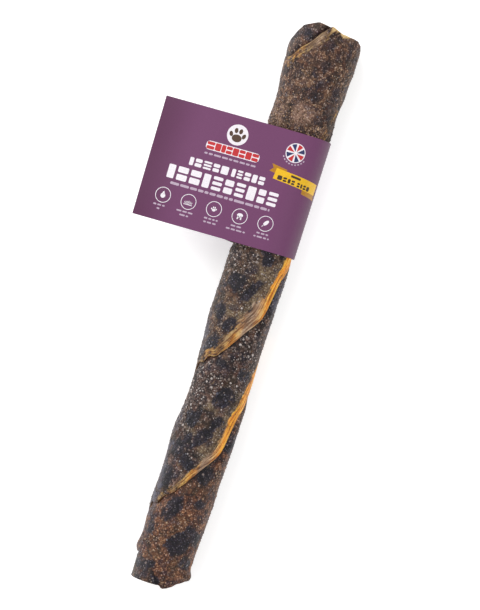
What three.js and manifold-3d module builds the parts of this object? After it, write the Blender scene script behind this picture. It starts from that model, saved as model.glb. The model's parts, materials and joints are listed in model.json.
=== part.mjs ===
// Rolled fish-skin dental chew stick for dogs, with a paper flag label looped round it.
//
// Millimetres, +Z up. The stick lies along Y with its wide end towards +Y. The origin is
// on the flat underside, at mid length. The printed face of the label looks up (+Z) and
// its flag reaches out towards -X.
//
// Inside out: a tightly rolled core, a middle roll round it, an under wrap, and two outer
// skins that wind round everything as a two-start, right-handed helix. Each outer skin
// laps over its neighbour with its lower (-Y) edge and tucks its upper edge underneath.

import * as THREE from 'three';
import { mergeVertices } from 'three/addons/utils/BufferGeometryUtils.js';
import Module from 'manifold-3d';

const wasm = await Module();
wasm.setup();

// ---------------------------------------------------------------- driving dimensions

const STICK_LENGTH = 390;
const NARROW_END = -STICK_LENGTH / 2;
const WIDE_END = STICK_LENGTH / 2;

const AXIS_HEIGHT = 20.5; // of the stick's axis above its flat underside
const HALF_HEIGHT = 21.3; // of the round section before the underside is pressed flat

// Half widths of the stick to its left (-X) and right (+X), by position y along it.
const WIDTH_STATIONS = [
  { at: NARROW_END, left: 18.0, right: 18.8 },
  { at: -177, left: 18.6, right: 20.0 },
  { at: -142, left: 20.2, right: 21.0 },
  { at: -97, left: 19.8, right: 22.4 },
  { at: -62, left: 18.2, right: 22.4 },
  { at: -37, left: 18.9, right: 21.2 },
  { at: 3, left: 20.0, right: 22.0 },
  { at: 103, left: 20.2, right: 21.8 },
  { at: 122, left: 20.8, right: 21.9 },
  { at: 153, left: 22.4, right: 22.8 },
  { at: 173, left: 24.6, right: 24.1 },
  { at: WIDE_END, left: 22.6, right: 23.2 },
];
const FLARE_FROM = 21.8; // half width from which the section grows taller as well

const SKIN = 1.8; // thickness of one dried skin
const WRAP_GAP = 0.3; // between one wrap and the next
const HELIX_PITCH = 193.8; // rise of an outer skin in one turn
const SEAM_B_Y = -122.5; // where skin B's exposed edge crosses the top of the stick
const SEAM_A_Y = SEAM_B_Y - HELIX_PITCH / 2 - 2.4;
const LAP_A = 14; // of skin A hidden under skin B, along the stick
const LAP_B = 24;
const DIP = 22; // a skin sinks under its neighbour over this length
const REACH_A = 34; // how much further skin A's first winding hangs towards the narrow end

// How far the skins' edges stray from an even helix, by angle in degrees: they slant over
// the top of the stick and run almost straight along its right flank.
const EDGE_DRIFT = [
  { at: 0, drift: 0.4 },
  { at: 38, drift: 0.4 },
  { at: 60, drift: 22 },
  { at: 90, drift: 27 },
  { at: 268, drift: 25 },
  { at: 314, drift: 8.5 },
  { at: 360, drift: 0.4 },
];

const FACETS_PER_TURN = 24;

const PAPER = 0.35; // the label's thickness
const LABEL_HEIGHT = 81.4; // along the stick
const LABEL_CENTRE = { x: -33.2, y: 78.5 };
const LABEL_LEFT_X = -89.6; // the flag's free edge, on the label's centre line
const LABEL_RISE = 0.03; // the label sits askew: its ends climb this much per mm to the right
const LABEL_LEAN = 0.024; // and its free edge leans this much per mm along the stick

const LOOP_CENTRE = { x: 0.9, z: 20.6 };
const LOOP_HALF_WIDTH = 22.1; // inside the paper loop
const LOOP_HALF_HEIGHT = 21.9;
const LOOP_FLOOR = -0.3; // the inside of the loop where it is pressed flat under the stick
const LOOP_TOP = LOOP_CENTRE.z + LOOP_HALF_HEIGHT;

const BEND_X = -26; // line where the two leaves meet and the flag bends
const BEND_CLEARANCE = 0.9; // left open on each side of that line
const ADHESIVE = 0.15;
const LEAF_GAP = 0.05; // between each leaf and the adhesive

// ------------------------------------------------------------------- the stick's form

const TURN = 2 * Math.PI;

// Value of `key` at a place in a list of stations, eased between its neighbours.
function stationValue(stations, place, key) {
  const last = stations.length - 1;
  const inside = THREE.MathUtils.clamp(place, stations[0].at, stations[last].at);
  const upper = Math.max(1, stations.findIndex((station) => station.at >= inside));
  const a = stations[upper - 1];
  const b = stations[upper];
  const ease = (1 - Math.cos((Math.PI * (inside - a.at)) / (b.at - a.at))) / 2;
  return THREE.MathUtils.lerp(a[key], b[key], ease);
}

// Half axes of the oval section at y, on the side that `angle` faces.
function halfAxes(y, angle) {
  const halfWidth = stationValue(WIDTH_STATIONS, y, Math.sin(angle) < 0 ? 'left' : 'right');
  const flare = Math.max(0, halfWidth - FLARE_FROM);
  return { halfWidth, halfHeight: HALF_HEIGHT + flare / 2 };
}

// Point of the stick's outer surface at y and `angle`, pushed in by `depth`. The angle
// starts at the top (+Z) and turns towards +X. The underside is pressed flat.
function wrapPoint(y, angle, depth) {
  const { halfWidth, halfHeight } = halfAxes(y, angle);
  const x = (halfWidth - depth) * Math.sin(angle);
  const z = AXIS_HEIGHT + (halfHeight - depth) * Math.cos(angle);
  return [x, y, Math.max(z, depth)];
}

// Point at `fraction` of the way from the stick's axis to its outer surface.
function rollPoint(y, angle, fraction) {
  const { halfWidth, halfHeight } = halfAxes(y, angle);
  const x = fraction * halfWidth * Math.sin(angle);
  const z = AXIS_HEIGHT + fraction * halfHeight * Math.cos(angle);
  return [x, y, z];
}

// --------------------------------------------------------------------- solid building

// Closed sheet from two matching grids of points, rows x columns, seen from outside with
// rows running round the stick and columns running along +Y.
function sheetBetween(outerGrid, innerGrid) {
  const rows = outerGrid.length;
  const columns = outerGrid[0].length;
  const positions = [...outerGrid.flat(2), ...innerGrid.flat(2)];
  const outer = (row, column) => row * columns + column;
  const inner = (row, column) => rows * columns + outer(row, column);
  const index = [];
  const quad = (a, b, c, d) => index.push(a, b, c, a, c, d);

  for (let r = 0; r < rows - 1; r += 1) {
    for (let c = 0; c < columns - 1; c += 1) {
      quad(outer(r, c), outer(r + 1, c), outer(r + 1, c + 1), outer(r, c + 1));
      quad(inner(r, c), inner(r, c + 1), inner(r + 1, c + 1), inner(r + 1, c));
    }
  }
  for (let r = 0; r < rows - 1; r += 1) {
    const end = columns - 1;
    quad(outer(r, 0), inner(r, 0), inner(r + 1, 0), outer(r + 1, 0));
    quad(outer(r, end), outer(r + 1, end), inner(r + 1, end), inner(r, end));
  }
  for (let c = 0; c < columns - 1; c += 1) {
    const end = rows - 1;
    quad(outer(0, c), outer(0, c + 1), inner(0, c + 1), inner(0, c));
    quad(outer(end, c), inner(end, c), inner(end, c + 1), outer(end, c + 1));
  }

  const geometry = new THREE.BufferGeometry();
  geometry.setAttribute('position', new THREE.Float32BufferAttribute(positions, 3));
  geometry.setIndex(index);
  return geometry;
}

function toSolid(geometry) {
  const bare = geometry.clone();
  bare.deleteAttribute('normal');
  bare.deleteAttribute('uv');
  const merged = mergeVertices(bare, 1e-4);
  const mesh = new wasm.Mesh({
    numProp: 3,
    vertProperties: new Float32Array(merged.getAttribute('position').array),
    triVerts: new Uint32Array(merged.getIndex().array),
  });
  return new wasm.Manifold(mesh);
}

function toGeometry(solid) {
  const mesh = solid.getMesh();
  const geometry = new THREE.BufferGeometry();
  geometry.setAttribute('position', new THREE.BufferAttribute(mesh.vertProperties, 3));
  geometry.setIndex(new THREE.BufferAttribute(mesh.triVerts, 1));
  geometry.computeVertexNormals();
  return geometry;
}

// Block over the stick whose two ends follow the given outlines, each listed as [x, y]
// from left to right. What reaches past the outlines is what the end cuts take away.
function keepBetween(narrowCut, wideCut) {
  const points = [...narrowCut, ...[...wideCut].reverse()];
  const shape = new THREE.Shape(points.map(([x, y]) => new THREE.Vector2(x, y)));
  const margin = 20;
  const depth = 2 * HALF_HEIGHT + 2 * margin;
  const block = new THREE.ExtrudeGeometry(shape, { depth, bevelEnabled: false });
  return toSolid(block.translate(0, 0, -margin));
}

const WIDE_CUT = [
  [-40, WIDE_END - 24],
  [-24.5, WIDE_END - 19.5],
  [-22.6, WIDE_END - 13],
  [-19, WIDE_END - 4.2],
  [-9, WIDE_END],
  [2, WIDE_END - 1.4],
  [9, WIDE_END - 3.8],
  [19.8, WIDE_END - 4.4],
  [22.2, WIDE_END - 6.2],
  [24.4, WIDE_END - 12],
  [40, WIDE_END - 16],
];

// The outer skins end in a slanting tear that leaves the under wrap showing at the left.
const TORN_CUT = [
  [-40, NARROW_END + 18],
  [-18, NARROW_END + 17],
  [-8, NARROW_END + 13],
  [-3, NARROW_END + 8],
  [2, NARROW_END + 1.4],
  [6, NARROW_END],
  [14, NARROW_END + 4.2],
  [19, NARROW_END + 7.4],
  [40, NARROW_END + 12],
];

const SQUARE_CUT = [
  [-40, NARROW_END],
  [6, NARROW_END + 0.6],
  [12, NARROW_END + 5],
  [40, NARROW_END + 14],
];

// ------------------------------------------------------------------ pieces of the roll

// Where the lower edge of each outer skin lies along the stick, after `turn` turns.
function helixEdge(seam, turn) {
  const degrees = 360 * THREE.MathUtils.euclideanModulo(turn, 1);
  return seam + HELIX_PITCH * turn + stationValue(EDGE_DRIFT, degrees, 'drift');
}

function edgeA(turn) {
  return helixEdge(SEAM_A_Y, turn) - REACH_A * (1 - THREE.MathUtils.smoothstep(turn, 0.35, 0.8));
}

function edgeB(turn) {
  return helixEdge(SEAM_B_Y, turn);
}

// One outer skin, winding from the turn count `firstTurn` to `lastTurn`. From `cover(turn)`
// onwards along the stick its neighbour lies over it, and it has sunk by one wrap there.
function outerSkin({ edge, cover, lap, firstTurn, lastTurn }) {
  const openSteps = 6; // grid steps over the part that stays at the surface
  const sinkSteps = 3;
  const lapSteps = 2;
  const steps = Math.round((lastTurn - firstTurn) * FACETS_PER_TURN);
  const outerGrid = [];
  const innerGrid = [];
  for (let step = 0; step <= steps; step += 1) {
    const turn = firstTurn + step / FACETS_PER_TURN;
    const low = edge(turn);
    const covered = cover(turn);
    const outer = [];
    const inner = [];
    const addPoint = (y, depth) => {
      outer.push(wrapPoint(y, TURN * turn, depth));
      inner.push(wrapPoint(y, TURN * turn, depth + SKIN));
    };
    for (let i = 0; i < openSteps; i += 1) {
      addPoint(THREE.MathUtils.lerp(low, covered - DIP, i / openSteps), 0);
    }
    for (let i = 0; i <= sinkSteps; i += 1) {
      const sunk = THREE.MathUtils.smoothstep(i / sinkSteps, 0, 1);
      addPoint(covered - DIP * (1 - i / sinkSteps), (SKIN + WRAP_GAP) * sunk);
    }
    for (let i = 1; i <= lapSteps; i += 1) {
      addPoint(covered + (lap * i) / lapSteps, SKIN + WRAP_GAP);
    }
    outerGrid.push(outer);
    innerGrid.push(inner);
  }
  const wound = toSolid(sheetBetween(outerGrid, innerGrid));
  return toGeometry(wound.intersect(keepBetween(TORN_CUT, WIDE_CUT)));
}

// The under wrap: one skin bent into a tube, with its two long edges facing each other.
function underWrap() {
  const slack = 0.4; // the outer skins lie a little loose on it
  const depth = 2 * (SKIN + WRAP_GAP) + slack;
  const slit = 0.02; // of a turn
  const between = [-177, -142, -97, -62, -37, 3, 53, 103, 122, 138, 153, 163, 173, 184];
  const stations = [NARROW_END - 5, ...between, WIDE_END + 5];
  const outerGrid = [];
  const innerGrid = [];
  for (let step = 0; step <= FACETS_PER_TURN; step += 1) {
    const spread = slit / 2 + (1 - slit) * (step / FACETS_PER_TURN);
    const angle = TURN * (spread + 0.62);
    outerGrid.push(stations.map((y) => wrapPoint(y, angle, depth)));
    innerGrid.push(stations.map((y) => wrapPoint(y, angle, depth + SKIN)));
  }
  const tube = toSolid(sheetBetween(outerGrid, innerGrid));
  return toGeometry(tube.intersect(keepBetween(SQUARE_CUT, WIDE_CUT)));
}

// A skin rolled into a spiral. Radii are fractions of the stick's own radius.
function rolledSkin({ outside, turns, startTurn, from, to }) {
  const pitch = 0.105; // taken by one turn
  const thickness = 0.086;
  const stationCount = 11;
  const outerGrid = [];
  const innerGrid = [];
  const steps = Math.round(turns * FACETS_PER_TURN);
  const stations = [];
  for (let i = 0; i < stationCount; i += 1) {
    stations.push(THREE.MathUtils.lerp(from, to, i / (stationCount - 1)));
  }
  for (let step = 0; step <= steps; step += 1) {
    const turn = step / FACETS_PER_TURN;
    const fraction = outside - pitch * (turns - turn);
    const angle = TURN * (startTurn + turn);
    outerGrid.push(stations.map((y) => rollPoint(y, angle, fraction)));
    innerGrid.push(stations.map((y) => rollPoint(y, angle, fraction - thickness)));
  }
  return sheetBetween(outerGrid, innerGrid);
}

// --------------------------------------------------------------------------- the label

// Moves a point of a straight label to its place on the slightly askew one.
function askew(geometry) {
  const position = geometry.getAttribute('position');
  for (let i = 0; i < position.count; i += 1) {
    const y = position.getY(i) + LABEL_RISE * (position.getX(i) - LABEL_CENTRE.x);
    position.setY(i, y);
  }
  return geometry;
}

// Outline of a strip of paper whose inside follows `path`; the outside lies to the left
// of the path's direction.
function paperOutline(path) {
  const outside = path.map((point, i) => {
    const before = path[Math.max(0, i - 1)];
    const after = path[Math.min(path.length - 1, i + 1)];
    const along = after.clone().sub(before).normalize();
    return point.clone().add(new THREE.Vector2(-along.y, along.x).multiplyScalar(PAPER));
  });
  return new THREE.Shape([...path, ...outside.reverse()]);
}

// The loop: from the bend, flat over the top, round the right side, under the stick and
// up its left side to the bend again, where its two ends stay just apart.
function labelBand() {
  const path = [new THREE.Vector2(BEND_X + BEND_CLEARANCE, LOOP_TOP)];
  const lastAngle = -169 * THREE.MathUtils.DEG2RAD;
  const firstAngle = Math.PI / 2;
  const arcSteps = 34;
  for (let i = 0; i <= arcSteps; i += 1) {
    const angle = THREE.MathUtils.lerp(firstAngle, lastAngle, i / arcSteps);
    const x = LOOP_CENTRE.x + LOOP_HALF_WIDTH * Math.cos(angle);
    const z = LOOP_CENTRE.z + LOOP_HALF_HEIGHT * Math.sin(angle);
    path.push(new THREE.Vector2(x, Math.max(z, LOOP_FLOOR)));
  }
  const mouth = 1.2; // between the loop's two ends
  path.push(new THREE.Vector2(BEND_X + BEND_CLEARANCE, LOOP_TOP - mouth));

  const options = { depth: LABEL_HEIGHT, bevelEnabled: false };
  const band = new THREE.ExtrudeGeometry(paperOutline(path), options);
  band.rotateX(Math.PI / 2); // the outline's second axis becomes +Z, its depth runs to -Y
  band.translate(0, LABEL_CENTRE.y + LABEL_HEIGHT / 2, 0);
  return askew(band);
}

// A flat layer of the flag, from the bend to the free edge, with its underside at z.
function flagLayer(z, thickness, inset) {
  const right = BEND_X - BEND_CLEARANCE - inset;
  const left = LABEL_LEFT_X + inset;
  const half = LABEL_HEIGHT / 2 - inset;
  const lean = LABEL_LEAN * half;
  const shape = new THREE.Shape([
    new THREE.Vector2(left + lean, LABEL_CENTRE.y - half),
    new THREE.Vector2(right, LABEL_CENTRE.y - half),
    new THREE.Vector2(right, LABEL_CENTRE.y + half),
    new THREE.Vector2(left - lean, LABEL_CENTRE.y + half),
  ]);
  const layer = new THREE.ExtrudeGeometry(shape, { depth: thickness, bevelEnabled: false });
  return askew(layer.translate(0, 0, z));
}

// ------------------------------------------------------------------------ the assembly

function piece(name, geometry, color, roughness) {
  const material = new THREE.MeshStandardMaterial({ color, roughness, metalness: 0 });
  const mesh = new THREE.Mesh(geometry, material);
  mesh.name = name;
  return mesh;
}

function makeStick() {
  const stick = new THREE.Group();
  const skinA = outerSkin({ edge: edgeA, cover: edgeB, lap: LAP_A, firstTurn: -0.5, lastTurn: 1.625 });
  const nextA = (turn) => edgeA(turn + 1);
  const skinB = outerSkin({ edge: edgeB, cover: nextA, lap: LAP_B, firstTurn: -1, lastTurn: 1.625 });
  const middle = { outside: 0.62, turns: 2, startTurn: 0.1, from: NARROW_END + 3, to: WIDE_END - 9 };
  const core = { outside: 0.31, turns: 1.75, startTurn: 0.45, from: NARROW_END + 5, to: WIDE_END - 12 };
  stick.add(piece('outer_skin_a', skinA, 0x5a4438, 0.62));
  stick.add(piece('outer_skin_b', skinB, 0x463c3a, 0.62));
  stick.add(piece('under_wrap', underWrap(), 0x4a3a3c, 0.65));
  stick.add(piece('middle_roll', rolledSkin(middle), 0xa8682c, 0.6));
  stick.add(piece('core_roll', rolledSkin(core), 0xb9783a, 0.6));
  return stick;
}

function makeLabel() {
  const label = new THREE.Group();
  const adhesiveZ = LOOP_TOP - LEAF_GAP - ADHESIVE;
  const backZ = adhesiveZ - LEAF_GAP - PAPER;
  label.add(piece('label_band', labelBand(), 0x7b4d73, 0.5));
  label.add(piece('label_front_leaf', flagLayer(LOOP_TOP, PAPER, 0), 0x7b4d73, 0.5));
  label.add(piece('label_adhesive', flagLayer(adhesiveZ, ADHESIVE, 1.5), 0xe4dccb, 0.4));
  label.add(piece('label_back_leaf', flagLayer(backZ, PAPER, 0), 0x70456a, 0.5));
  return label;
}

const dentalStick = new THREE.Group();
dentalStick.add(makeStick(), makeLabel());

export default dentalStick;
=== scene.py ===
"""Looks of the rolled fish-skin dental stick with its paper flag label.

Lengths are in metres, in the CAD's frame: +Y along the stick towards its wide end, +Z up,
the printed face of the label looking up and its flag reaching towards -X. Angles round the
stick start at the top (+Z) and turn towards +X.
"""
import itertools
import json
import math

import bmesh
import bpy
import numpy as np
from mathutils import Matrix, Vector


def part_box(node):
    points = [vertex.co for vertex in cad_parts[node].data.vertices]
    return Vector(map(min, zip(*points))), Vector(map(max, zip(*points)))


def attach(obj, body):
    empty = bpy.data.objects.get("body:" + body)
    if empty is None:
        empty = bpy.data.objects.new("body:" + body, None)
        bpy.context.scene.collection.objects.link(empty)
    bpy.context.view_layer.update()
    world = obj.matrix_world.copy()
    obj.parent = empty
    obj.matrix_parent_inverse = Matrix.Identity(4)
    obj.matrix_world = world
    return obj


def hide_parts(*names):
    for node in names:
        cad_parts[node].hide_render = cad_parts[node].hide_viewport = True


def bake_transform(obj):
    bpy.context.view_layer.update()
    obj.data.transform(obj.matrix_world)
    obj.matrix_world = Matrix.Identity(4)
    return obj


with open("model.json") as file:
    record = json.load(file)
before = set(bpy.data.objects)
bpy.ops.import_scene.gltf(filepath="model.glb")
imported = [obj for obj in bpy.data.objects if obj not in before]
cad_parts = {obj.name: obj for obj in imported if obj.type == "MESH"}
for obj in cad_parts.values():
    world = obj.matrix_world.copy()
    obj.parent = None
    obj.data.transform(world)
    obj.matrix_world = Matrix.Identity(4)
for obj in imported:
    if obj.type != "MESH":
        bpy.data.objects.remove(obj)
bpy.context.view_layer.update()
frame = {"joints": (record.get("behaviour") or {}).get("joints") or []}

MM = 0.001
TURN = 2 * math.pi

# ------------------------------------------------------------------ sizes from the frame

NARROW_END, WIDE_END = (corner.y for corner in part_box("under_wrap"))
CORE_START, CORE_STOP = (corner.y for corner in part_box("core_roll"))
TABLE_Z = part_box("label_band")[0].z
BEND = next(j for j in frame["joints"] if j["name"] == "flag_bend")["pos_m"]

# ------------------------------------------------------------------ the stick's own form

AXIS_Z = 20.5 * MM  # the stick's axis above its flat underside
HALF_HEIGHT = 21.3 * MM
FLARE_FROM = 21.8 * MM  # half width from which the section grows taller as well
PITCH = 193.8 * MM  # rise of an outer skin in one turn
EXPOSED = PITCH / 2
SKIN_WIDTH = EXPOSED + 14 * MM  # what lies beyond the exposed part is tucked under
SKIN_THICK = 1.8 * MM
LAP_DEPTH = 2.15 * MM  # how far a tucked edge lies under its neighbour
SEAM_B = -122.5 * MM  # where skin B's lower edge crosses the top of the stick
SEAM_A = SEAM_B - EXPOSED - 2.4 * MM
SKIN_A_END_TURN = 1.65  # where skin A ends; from one turn before, skin B's top lies bare
GIRTH = TURN * 21 * MM  # length of one turn measured round the stick

# Half widths (left, right) along the stick, in millimetres.
OUTLINE = (
    (-195, 17.4, 18.6),
    (-184, 17.6, 20.9),
    (-178.5, 17.9, 18.6),
    (-174, 19.7, 19.4),
    (-163, 18.5, 20.3),
    (-146, 20.1, 21.0),
    (-117, 19.1, 21.5),
    (-94, 19.9, 22.4),
    (-71, 17.6, 22.3),
    (-37, 18.8, 21.1),
    (-9, 20.2, 21.6),
    (38, 19.8, 22.1),
    (104, 20.0, 21.7),
    (125, 21.8, 22.0),
    (140, 21.2, 21.9),
    (155, 22.5, 22.5),
    (176, 24.6, 23.8),
    (195, 22.8, 23.6),
)

# Where the two ends are cut, as (x, distance from the stick's end), in millimetres.
WIDE_CUT = (
    (-40, 26), (-24.6, 19.5), (-22.6, 13), (-21.2, 8.6), (-19, 4.2), (-14, 2), (-9, 0), (2, 1.4),
    (9, 3.8), (20, 4.4), (22.4, 6.6), (24.2, 12), (40, 16),
)
TORN_CUT = (
    (-40, 19), (-18, 17.5), (-12, 15), (-6, 11.5), (-3, 8), (2, 1.4), (6, -0.6),
    (9, 0.6), (14, 4.2), (19, 7.4), (22, 11), (40, 14),
)
SQUARE_CUT = ((-40, -1.5), (-18, 0), (3, 0.9), (12, 4.6), (40, 14))


def smooth(x, low, high):
    """0 below low, 1 above high, eased between; low may be above high."""
    t = np.clip((x - low) / (high - low), 0, 1)
    return t * t * (3 - 2 * t)


def eased(x, stations, column):
    """Value of a column of a table of stations at x, eased between neighbours."""
    table = np.array(stations, float)
    places, values = table[:, 0], table[:, column]
    inside = np.clip(x, places[0], places[-1])
    upper = np.clip(np.searchsorted(places, inside), 1, len(places) - 1)
    a, b = places[upper - 1], places[upper]
    t = (inside - a) / (b - a)
    t = (1 - np.cos(np.pi * t)) / 2
    return values[upper - 1] * (1 - t) + values[upper] * t


def cut_distance(x, cut):
    """Distance from the stick's end to where a cut crosses the plan position x."""
    table = np.array(cut, float) * MM
    return np.interp(x, table[:, 0], table[:, 1])


def from_torn_end(x, y):
    return y - NARROW_END - cut_distance(x, TORN_CUT)


def from_wide_end(x, y):
    return WIDE_END - cut_distance(x, WIDE_CUT) - y


# ------------------------------------------------------------------------------- noise

def lattice_value(cells, seed):
    """A fixed pseudo-random number in -1..1 for each integer lattice cell."""
    h = (
        cells[..., 0] * 374761393
        + cells[..., 1] * 668265263
        + cells[..., 2] * 2147483647
        + seed * 1274126177
    ) & 0xFFFFFFFF
    h = ((h ^ (h >> 13)) * 1103515245) & 0xFFFFFFFF
    h = ((h ^ (h >> 16)) * 2654435761) & 0xFFFFFFFF
    return (h >> 8) / float(1 << 23) - 1.0


def noise(points, size, seed):
    """Smooth value noise in -1..1 with features about `size` across."""
    p = np.asarray(points, float) / size + 1000.0
    base = np.floor(p).astype(np.int64)
    t = p - base
    t = t * t * (3 - 2 * t)
    total = 0.0
    for corner in itertools.product((0, 1), repeat=3):
        weight = np.where(corner, t, 1 - t).prod(-1)
        total = total + weight * lattice_value(base + corner, seed)
    return total


def noise_along(x, seed):
    """Value noise in -1..1 along a line, with features about 1 long."""
    return noise(np.stack([x, 0 * x, 0 * x], -1), 1.0, seed)


def layered(points, size, seed, layers=3):
    """Several octaves of noise, each half as large and half as strong as the last."""
    total = 0.0
    for i in range(layers):
        total = total + noise(points, size / 2**i, seed + 17 * i) / 2**i
    return total


# ------------------------------------------------------------------------ mesh building

def mesh_object(name, points, faces, attributes=None, sharp=None):
    """A smooth-shaded mesh object with optional float vertex attributes."""
    mesh = bpy.data.meshes.new(name)
    mesh.from_pydata([tuple(p) for p in points], [], [tuple(f) for f in faces])
    mesh.update()
    mesh.polygons.foreach_set("use_smooth", np.ones(len(mesh.polygons), bool))
    for key, values in (attributes or {}).items():
        layer = mesh.attributes.new(key, "FLOAT", "POINT")
        layer.data.foreach_set("value", np.asarray(values, np.float32))
    if sharp is not None:
        keys = {tuple(sorted(edge)) for edge in sharp}
        flags = [tuple(sorted(e.vertices)) in keys for e in mesh.edges]
        layer = mesh.attributes.new("sharp_edge", "BOOLEAN", "EDGE")
        layer.data.foreach_set("value", flags)
    obj = bpy.data.objects.new(name, mesh)
    bpy.context.scene.collection.objects.link(obj)
    return obj


def boundary_edges(faces):
    """Directed edges that only one face uses."""
    used = {}
    for face in faces:
        for a, b in zip(face, face[1:] + face[:1]):
            used[(a, b)] = True
    return [(a, b) for (a, b) in used if (b, a) not in used]


def thick_object(name, outer, inner, faces, attributes=None, inner_values=None):
    """A closed piece from matching outer and inner points and the outer side's faces. The
    inner side takes its attributes from the outer one unless inner_values gives them."""
    outer, inner = outer.reshape(-1, 3), inner.reshape(-1, 3)
    used = sorted({v for face in faces for v in face})
    place = {v: i for i, v in enumerate(used)}
    n = len(used)
    outer_faces = [[place[v] for v in face] for face in faces]
    inner_faces = [[v + n for v in reversed(face)] for face in outer_faces]
    rim = boundary_edges(outer_faces)
    walls = [[b, a, a + n, b + n] for a, b in rim]
    kept = {}
    for key, values in (attributes or {}).items():
        values = values.ravel()[used]
        inside = values if key not in (inner_values or {}) else np.full(n, inner_values[key])
        kept[key] = np.concatenate([values, inside])
    points = np.concatenate([outer[used], inner[used]])
    sharp = rim + [(a + n, b + n) for a, b in rim]
    return mesh_object(name, points, outer_faces + inner_faces + walls, kept, sharp)


def clipped_grid(places, low, high):
    """places along every row, clipped to low..high of that row, and its first and last
    column that are kept."""
    first = np.clip(np.searchsorted(places, low, side="right") - 1, 0, len(places) - 1)
    last = np.clip(np.searchsorted(places, high), 0, len(places) - 1)
    return np.clip(places[None, :], low[:, None], high[:, None]), first, last


def trimmed_faces(shape, first, last):
    """Faces of a rows x columns grid, each row kept from column first[r] to last[r]."""
    rows, columns = shape
    column = np.arange(columns)
    index = np.clip(column[None, :], first[:, None], last[:, None])
    index = index + np.arange(rows)[:, None] * columns
    faces = []
    for r in range(rows - 1):
        if first[r] >= last[r] and first[r + 1] >= last[r + 1]:
            continue
        for c in range(columns - 1):
            corners = (index[r, c], index[r + 1, c], index[r + 1, c + 1], index[r, c + 1])
            face = list(dict.fromkeys(corners))
            if len(face) > 2:
                faces.append([int(v) for v in face])
    return faces


def grid_faces(rows, columns):
    return trimmed_faces((rows, columns), np.zeros(rows, int), np.full(rows, columns - 1))


# ---------------------------------------------------------------------- the skin sheets

def half_widths(y):
    left = eased(y / MM, OUTLINE, 1) * MM
    right = eased(y / MM, OUTLINE, 2) * MM
    return left, right


def stick_point(y, angle, depth):
    """Point of the stick's surface at y and angle, pushed in by depth."""
    left, right = half_widths(y)
    side = np.sin(angle)
    half_width = np.where(side < 0, left, right)
    flare = np.maximum(0, half_width - FLARE_FROM)
    half_height = HALF_HEIGHT + flare / 2
    x = (half_width - depth) * side
    z = AXIS_Z + (half_height - depth) * np.cos(angle)
    z = np.maximum(z, depth)
    return np.stack([x, y + 0 * x, z], axis=-1)


def plan_positions(turn):
    """Where the stick's narrow and wide end lie across the stick, seen from above."""
    narrow = stick_point(NARROW_END + 8 * MM + 0 * turn, TURN * turn, 0.0)
    wide = stick_point(WIDE_END - 10 * MM + 0 * turn, TURN * turn, 0.0)
    return narrow[:, 0], wide[:, 0]


def surface_relief(points):
    """Lumps, soft wrinkles and pebbling of the dried skins, in metres."""
    stretched = points * np.array([1.0, 0.45, 1.0])
    lumps = 0.36 * MM * layered(points, 17 * MM, 11, 2)
    wrinkles = 0.24 * MM * layered(stretched, 4.6 * MM, 16, 2)
    pebbles = 0.10 * MM * noise(points, 1.7 * MM, 20)
    return lumps + wrinkles + pebbles


def away_from_floor(points):
    """1 well above the table, 0 where the underside is pressed flat."""
    return smooth(points[..., 2], 0.3 * MM, 4 * MM)


# Dark blotches of the fish's own pattern on the upper side: x, y, half width, half length
# and lean of each, in millimetres and degrees.
BLOTCHES = (
    (-3.4, -140.8, 4.6, 9.8, -28), (8.2, -161.5, 6.8, 12.6, -46), (9.8, -114, 6.2, 9.2, -24),
    (-14.4, -158, 3.2, 6.4, 0), (11.6, -135.2, 3.6, 2.0, 0), (15, -175.5, 3.6, 4.2, 10),
    (-4.8, -110.5, 7, 4.2, -20), (-13.5, -104, 3.6, 5, 0), (-9, -81, 5.6, 6.2, 0),
    (-8.5, -95, 2.4, 3, 0),
    (0.5, -91, 3.4, 8, -38), (7.5, -79, 2, 4, -30), (-15, -123, 4.2, 8, 0),
    (6.2, -62.5, 6.2, 7.5, -15), (14.4, -44, 4, 4.4, 0), (-1.7, -40.7, 3.6, 3.6, 0),
    (-10.7, -30.5, 7.2, 6, 0), (-3.7, -15, 5, 6, -20), (-13.5, -7.7, 3.4, 5, 0),
    (-9.8, 14, 6, 5.6, 0), (2.4, 11, 3.0, 7.6, -35), (5.5, 35.5, 7, 4, -50),
    (19.3, 4.3, 3, 7, 0), (3.7, 168.2, 3.5, 3, 0), (-8.7, 169.9, 3.4, 2.6, 0),
    (1.7, 145.7, 5.4, 4, 20), (17.2, 139.2, 3.3, 6, 0), (6.3, 154.4, 4.4, 2.4, 0),
    (15.8, 149.7, 3, 3.6, 0), (9, 131.5, 3.4, 3.6, 0), (-8.5, 152.8, 2.3, 1.8, 0),
    (-13, 184, 8, 2.6, -45), (-10.5, -183.6, 7.5, 2.2, 6), (-0.5, -190.5, 5.6, 2.8, -36),
    (19, -90, 4, 7, 0),
)
# Paler, olive patches, given the same way.
PALE_PATCHES = (
    (6, 25, 5.5, 7, 0), (5, 4, 4.2, 14, -18), (-1, -9, 4, 5.4, -25), (6, -12, 3, 6, -20),
    (-7, -5, 3.5, 4, 0), (3.5, -100, 3.8, 3.8, -25), (1, -71, 5, 3, -20),
    (-8, -89, 3.2, 2, -20), (0, 132.5, 7.6, 7, 0), (-15, 128, 4.5, 7, 0), (-5, 184, 2.0, 5, -35),
)
# Smooth blue-grey stretches of the flanks, where a sheen of reflected light is painted into the colour.
PAINTED_SHEEN_PATCHES = (
    (-18.3, -122, 2.2, 32, 0), (-18.8, -22, 1.9, 14, 0), (-18.6, -80, 2.2, 12, 0),
    (20.6, 12, 1.6, 14, 0),
)
# Stretches crowded with pale dots.
DOTTED_PATCHES = (
    (-13, -75, 7, 27, 0), (-10, 28, 11, 13, 0), (9, -27, 9.5, 17, 0), (-2, -56, 14, 9, 0),
    (11, -113, 9, 8, 0), (-12, 129, 8, 8, 0), (9, 125, 9, 5, 0), (-8, 159, 6, 5, 0),
)


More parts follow.
